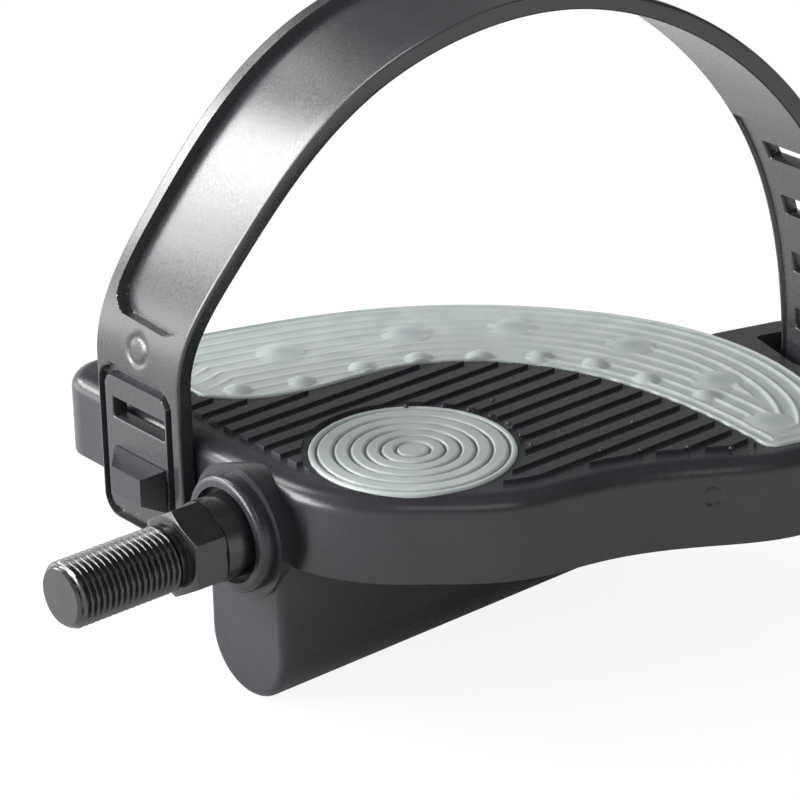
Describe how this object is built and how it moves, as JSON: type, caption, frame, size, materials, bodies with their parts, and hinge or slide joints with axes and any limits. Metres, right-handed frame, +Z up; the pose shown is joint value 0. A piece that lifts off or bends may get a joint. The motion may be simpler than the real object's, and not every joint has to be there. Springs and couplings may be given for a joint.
{
  "type": "exercise bike pedal",
  "caption": "Self-levelling exercise bike pedal: ribbed foot platform with grip pads on a threaded spindle, weighted keel below and an adjustable moulded foot strap arching over it.",
  "frame": {"origin": "on the spindle axis at the shoulder that seats against the crank arm", "axes": "+X outboard along the spindle, +Y towards the toe, +Z up with the platform level"},
  "size_m": [0.1676, 0.1273, 0.1307],
  "materials": {
    "black_steel": "black oxide, oiled",
    "bearing_steel": "ground and hardened",
    "seal_rubber": "matt",
    "black_plastic": "moulded, satin with a fine grain",
    "strap_plastic": "moulded flexible plastic, satin",
    "grip_rubber": "soft satin, translucent grey",
    "weight_iron": "sawn bar",
    "screw_steel": "zinc plated"
  },
  "bodies": {
    "spindle": {"spindle": "black_steel", "outboard_cone": "bearing_steel", "keyed_washer": "bearing_steel", "lock_nut": "bearing_steel"},
    "pedal": {"pedal_body": "black_plastic", "round_grip_pad": "grip_rubber", "toe_grip_pad": "grip_rubber", "strap": "strap_plastic", "inboard_cup": "bearing_steel", "outboard_cup": "bearing_steel", "inboard_seal": "seal_rubber", "dust_cap": "black_plastic", "counterweight": "weight_iron", "weight_cover": "black_plastic", "cover_screws": "screw_steel"},
    "inboard_ball_ring": {"inboard_balls": "bearing_steel"},
    "outboard_ball_ring": {"outboard_balls": "bearing_steel"}
  },
  "joints": [
    {"name": "pedal_spin", "type": "hinge", "parent": "spindle", "child": "pedal", "pos_m": [0, 0, 0], "axis": [1, 0, 0], "continuous": true},
    {"name": "inboard_balls_roll", "type": "hinge", "parent": "spindle", "child": "inboard_ball_ring", "pos_m": [0.022, 0, 0], "axis": [1, 0, 0], "continuous": true},
    {"name": "outboard_balls_roll", "type": "hinge", "parent": "spindle", "child": "outboard_ball_ring", "pos_m": [0.082, 0, 0], "axis": [1, 0, 0], "continuous": true}
  ],
  "couplings": [
    {"joint": "inboard_balls_roll", "follows": "pedal_spin", "ratio": 0.5891},
    {"joint": "outboard_balls_roll", "follows": "pedal_spin", "ratio": 0.6039}
  ]
}
